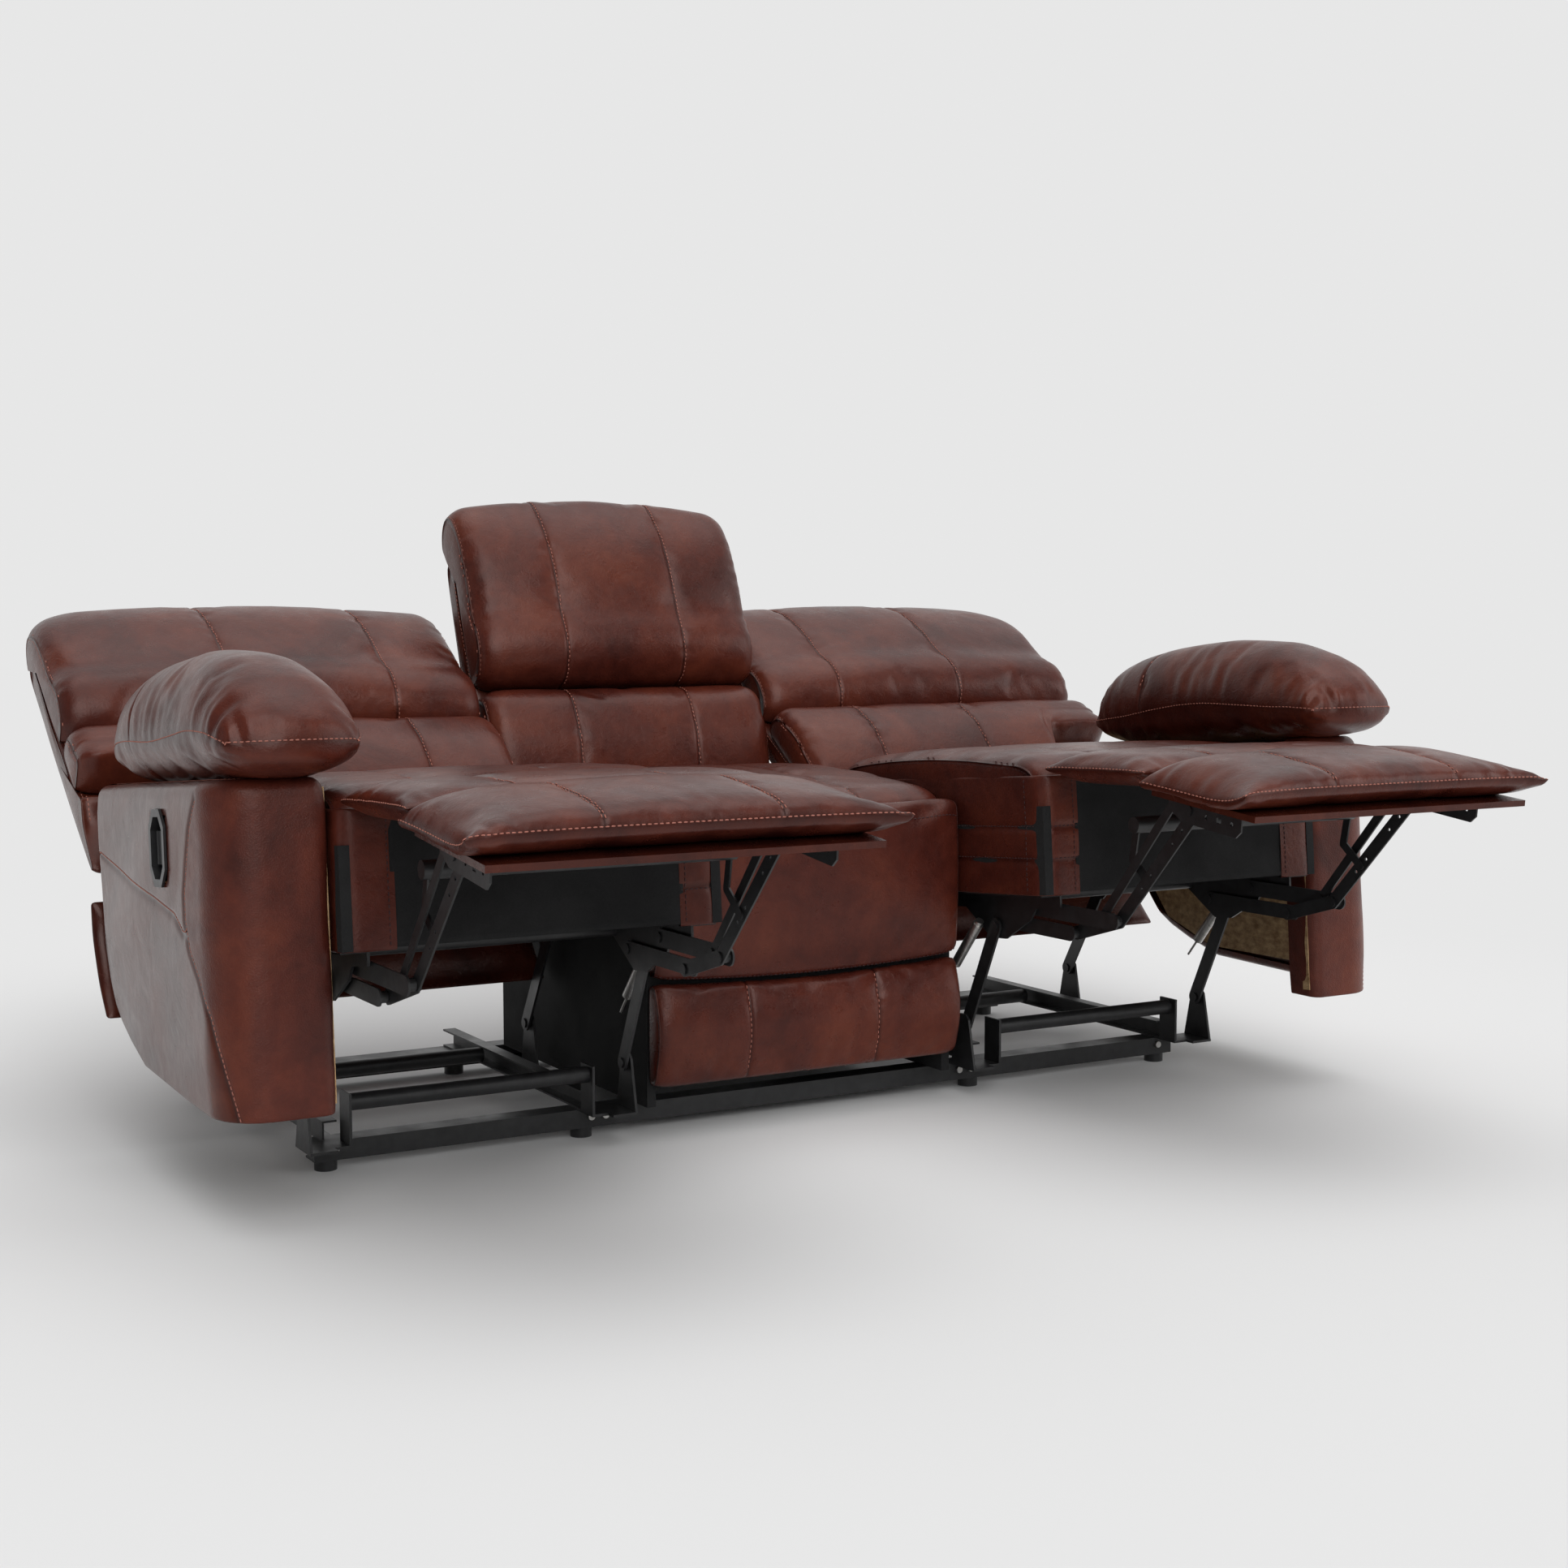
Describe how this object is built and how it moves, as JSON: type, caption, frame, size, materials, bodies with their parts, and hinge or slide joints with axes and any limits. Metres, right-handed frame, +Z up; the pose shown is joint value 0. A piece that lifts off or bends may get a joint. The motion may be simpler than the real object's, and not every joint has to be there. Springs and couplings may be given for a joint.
{
  "type": "reclining sofa",
  "caption": "Leather sofa with a fixed middle seat between outer seats that lean back, slide forward on swing links and raise padded footrests.",
  "frame": {"origin": "middle of the whole box at floor level, with both outer seats reclined and their footrests raised", "axes": "+X across the sofa towards the right-hand seat as seen from the front, +Y from the seat fronts to the backs, +Z up"},
  "size_m": [2.038, 1.6779, 1.003],
  "materials": {
    "leather": "glossy antiqued",
    "black_steel": "satin powder coat",
    "zinc_steel": "zinc plated",
    "board": "raw board",
    "black_plastic": "matte"
  },
  "bodies": {
    "base": {"base_rails": "black_steel", "feet": "black_plastic", "rail_bolts": "zinc_steel", "middle_seat_box": "board", "middle_front_panel": "leather", "middle_front_roll": "leather", "middle_seat_cushion": "leather", "middle_back_shell": "leather", "middle_head_pad": "leather", "middle_lumbar_pad": "leather", "left_mech_base": "black_steel", "right_mech_base": "black_steel"},
    "left_front_swing": {"left_front_swing_links": "black_steel"},
    "left_rear_swing": {"left_rear_swing_links": "black_steel"},
    "left_carriage": {"left_arm_frame": "board", "left_arm_cover": "leather", "left_arm_pad": "leather", "left_handle_bezel": "black_plastic", "left_seat_box": "board", "left_seat_cushion": "leather", "left_mech_frame": "black_steel", "left_rear_skirt": "leather", "left_springs": "zinc_steel"},
    "left_handle": {"left_handle_lever": "black_plastic"},
    "left_back": {"left_back_frame": "black_steel", "left_back_shell": "leather", "left_head_pad": "leather", "left_lumbar_pad": "leather"},
    "left_lower_front": {"left_lower_front_links": "black_steel"},
    "left_lower_rear": {"left_lower_rear_links": "black_steel"},
    "left_long_links": {"left_long_links": "black_steel"},
    "left_guide_links": {"left_guide_links": "black_steel"},
    "left_footrest": {"left_footrest_board": "board", "left_footrest_brackets": "black_steel", "left_footrest_pad": "leather"},
    "left_flap": {"left_chaise_flap": "leather"},
    "right_front_swing": {"right_front_swing_links": "black_steel"},
    "right_rear_swing": {"right_rear_swing_links": "black_steel"},
    "right_carriage": {"right_arm_frame": "board", "right_arm_cover": "leather", "right_arm_pad": "leather", "right_handle_bezel": "black_plastic", "right_seat_box": "board", "right_seat_cushion": "leather", "right_mech_frame": "black_steel", "right_rear_skirt": "leather", "right_springs": "zinc_steel"},
    "right_handle": {"right_handle_lever": "black_plastic"},
    "right_back": {"right_back_frame": "black_steel", "right_back_shell": "leather", "right_head_pad": "leather", "right_lumbar_pad": "leather"},
    "right_lower_front": {"right_lower_front_links": "black_steel"},
    "right_lower_rear": {"right_lower_rear_links": "black_steel"},
    "right_long_links": {"right_long_links": "black_steel"},
    "right_guide_links": {"right_guide_links": "black_steel"},
    "right_footrest": {"right_footrest_board": "board", "right_footrest_brackets": "black_steel", "right_footrest_pad": "leather"},
    "right_flap": {"right_chaise_flap": "leather"}
  },
  "joints": [
    {"name": "left_recline", "type": "hinge", "parent": "base", "child": "left_front_swing", "pos_m": [-0.562, -0.10872, 0.12], "axis": [-1, 0, 0], "range_deg": [0, 75]},
    {"name": "left_carriage_pivot", "type": "hinge", "parent": "left_front_swing", "child": "left_carriage", "pos_m": [-0.562, -0.18901, 0.2922], "axis": [1, 0, 0], "range_deg": [0, 79.5]},
    {"name": "left_rear_swing", "type": "hinge", "parent": "base", "child": "left_rear_swing", "pos_m": [-0.562, 0.26108, 0.12011], "axis": [-1, 0, 0], "range_deg": [0, 73.21]},
    {"name": "left_back", "type": "hinge", "parent": "left_carriage", "child": "left_back", "pos_m": [-0.562, 0.31801, 0.38156], "axis": [1, 0, 0], "range_deg": [0, 31.5]},
    {"name": "left_footrest", "type": "hinge", "parent": "left_carriage", "child": "left_lower_front", "pos_m": [-0.562, -0.26373, 0.33258], "axis": [1, 0, 0], "range_deg": [0, 106.26]},
    {"name": "left_rear_lower", "type": "hinge", "parent": "left_carriage", "child": "left_lower_rear", "pos_m": [-0.562, -0.15883, 0.30175], "axis": [1, 0, 0], "range_deg": [0, 106.26]},
    {"name": "left_knee", "type": "hinge", "parent": "left_lower_front", "child": "left_long_links", "pos_m": [-0.562, -0.47374, 0.33303], "axis": [-1, 0, 0], "range_deg": [0, 106.26]},
    {"name": "left_toe", "type": "hinge", "parent": "left_long_links", "child": "left_footrest", "pos_m": [-0.562, -0.6458, 0.5161], "axis": [1, 0, 0], "range_deg": [0, 84.91]},
    {"name": "left_guide", "type": "hinge", "parent": "left_lower_front", "child": "left_guide_links", "pos_m": [-0.562, -0.43773, 0.33296], "axis": [-1, 0, 0], "range_deg": [0, 105.81]},
    {"name": "left_flap", "type": "hinge", "parent": "left_carriage", "child": "left_flap", "pos_m": [-0.562, -0.37941, 0.54378], "axis": [1, 0, 0], "range_deg": [0, 86]},
    {"name": "left_handle", "type": "hinge", "parent": "left_carriage", "child": "left_handle", "pos_m": [-0.993, -0.06039, 0.48056], "axis": [0, -0.0785, -0.9969], "range_deg": [0, 24], "stiffness_Nm_per_rad": 0.4, "springref_deg": -11.46},
    {"name": "right_recline", "type": "hinge", "parent": "base", "child": "right_front_swing", "pos_m": [0.562, -0.10872, 0.12], "axis": [-1, 0, 0], "range_deg": [0, 75]},
    {"name": "right_carriage_pivot", "type": "hinge", "parent": "right_front_swing", "child": "right_carriage", "pos_m": [0.562, -0.18901, 0.2922], "axis": [1, 0, 0], "range_deg": [0, 79.5]},
    {"name": "right_rear_swing", "type": "hinge", "parent": "base", "child": "right_rear_swing", "pos_m": [0.562, 0.26108, 0.12011], "axis": [-1, 0, 0], "range_deg": [0, 73.21]},
    {"name": "right_back", "type": "hinge", "parent": "right_carriage", "child": "right_back", "pos_m": [0.562, 0.31801, 0.38156], "axis": [1, 0, 0], "range_deg": [0, 31.5]},
    {"name": "right_footrest", "type": "hinge", "parent": "right_carriage", "child": "right_lower_front", "pos_m": [0.562, -0.26373, 0.33258], "axis": [1, 0, 0], "range_deg": [0, 106.26]},
    {"name": "right_rear_lower", "type": "hinge", "parent": "right_carriage", "child": "right_lower_rear", "pos_m": [0.562, -0.15883, 0.30175], "axis": [1, 0, 0], "range_deg": [0, 106.26]},
    {"name": "right_knee", "type": "hinge", "parent": "right_lower_front", "child": "right_long_links", "pos_m": [0.562, -0.47374, 0.33303], "axis": [-1, 0, 0], "range_deg": [0, 106.26]},
    {"name": "right_toe", "type": "hinge", "parent": "right_long_links", "child": "right_footrest", "pos_m": [0.562, -0.6458, 0.5161], "axis": [1, 0, 0], "range_deg": [0, 84.91]},
    {"name": "right_guide", "type": "hinge", "parent": "right_lower_front", "child": "right_guide_links", "pos_m": [0.562, -0.43773, 0.33296], "axis": [-1, 0, 0], "range_deg": [0, 105.81]},
    {"name": "right_flap", "type": "hinge", "parent": "right_carriage", "child": "right_flap", "pos_m": [0.562, -0.37941, 0.54378], "axis": [1, 0, 0], "range_deg": [0, 86]},
    {"name": "right_handle", "type": "hinge", "parent": "right_carriage", "child": "right_handle", "pos_m": [0.993, -0.06039, 0.48056], "axis": [0, 0.0785, 0.9969], "range_deg": [0, 24], "stiffness_Nm_per_rad": 0.4, "springref_deg": -11.46}
  ],
  "couplings": [
    {"joint": "left_carriage_pivot", "follows": "left_recline", "ratio": 1.06},
    {"joint": "left_rear_swing", "follows": "left_recline", "ratio": 0.97609},
    {"joint": "left_back", "follows": "left_recline", "ratio": 0.42},
    {"joint": "left_rear_lower", "follows": "left_footrest", "ratio": 1},
    {"joint": "left_knee", "follows": "left_footrest", "ratio": 1},
    {"joint": "left_toe", "follows": "left_footrest", "ratio": 0.79911},
    {"joint": "left_guide", "follows": "left_footrest", "ratio": 0.99572},
    {"joint": "left_flap", "follows": "left_footrest", "ratio": 0.80934},
    {"joint": "right_carriage_pivot", "follows": "right_recline", "ratio": 1.06},
    {"joint": "right_rear_swing", "follows": "right_recline", "ratio": 0.97609},
    {"joint": "right_back", "follows": "right_recline", "ratio": 0.42},
    {"joint": "right_rear_lower", "follows": "right_footrest", "ratio": 1},
    {"joint": "right_knee", "follows": "right_footrest", "ratio": 1},
    {"joint": "right_toe", "follows": "right_footrest", "ratio": 0.79911},
    {"joint": "right_guide", "follows": "right_footrest", "ratio": 0.99572},
    {"joint": "right_flap", "follows": "right_footrest", "ratio": 0.80934}
  ]
}
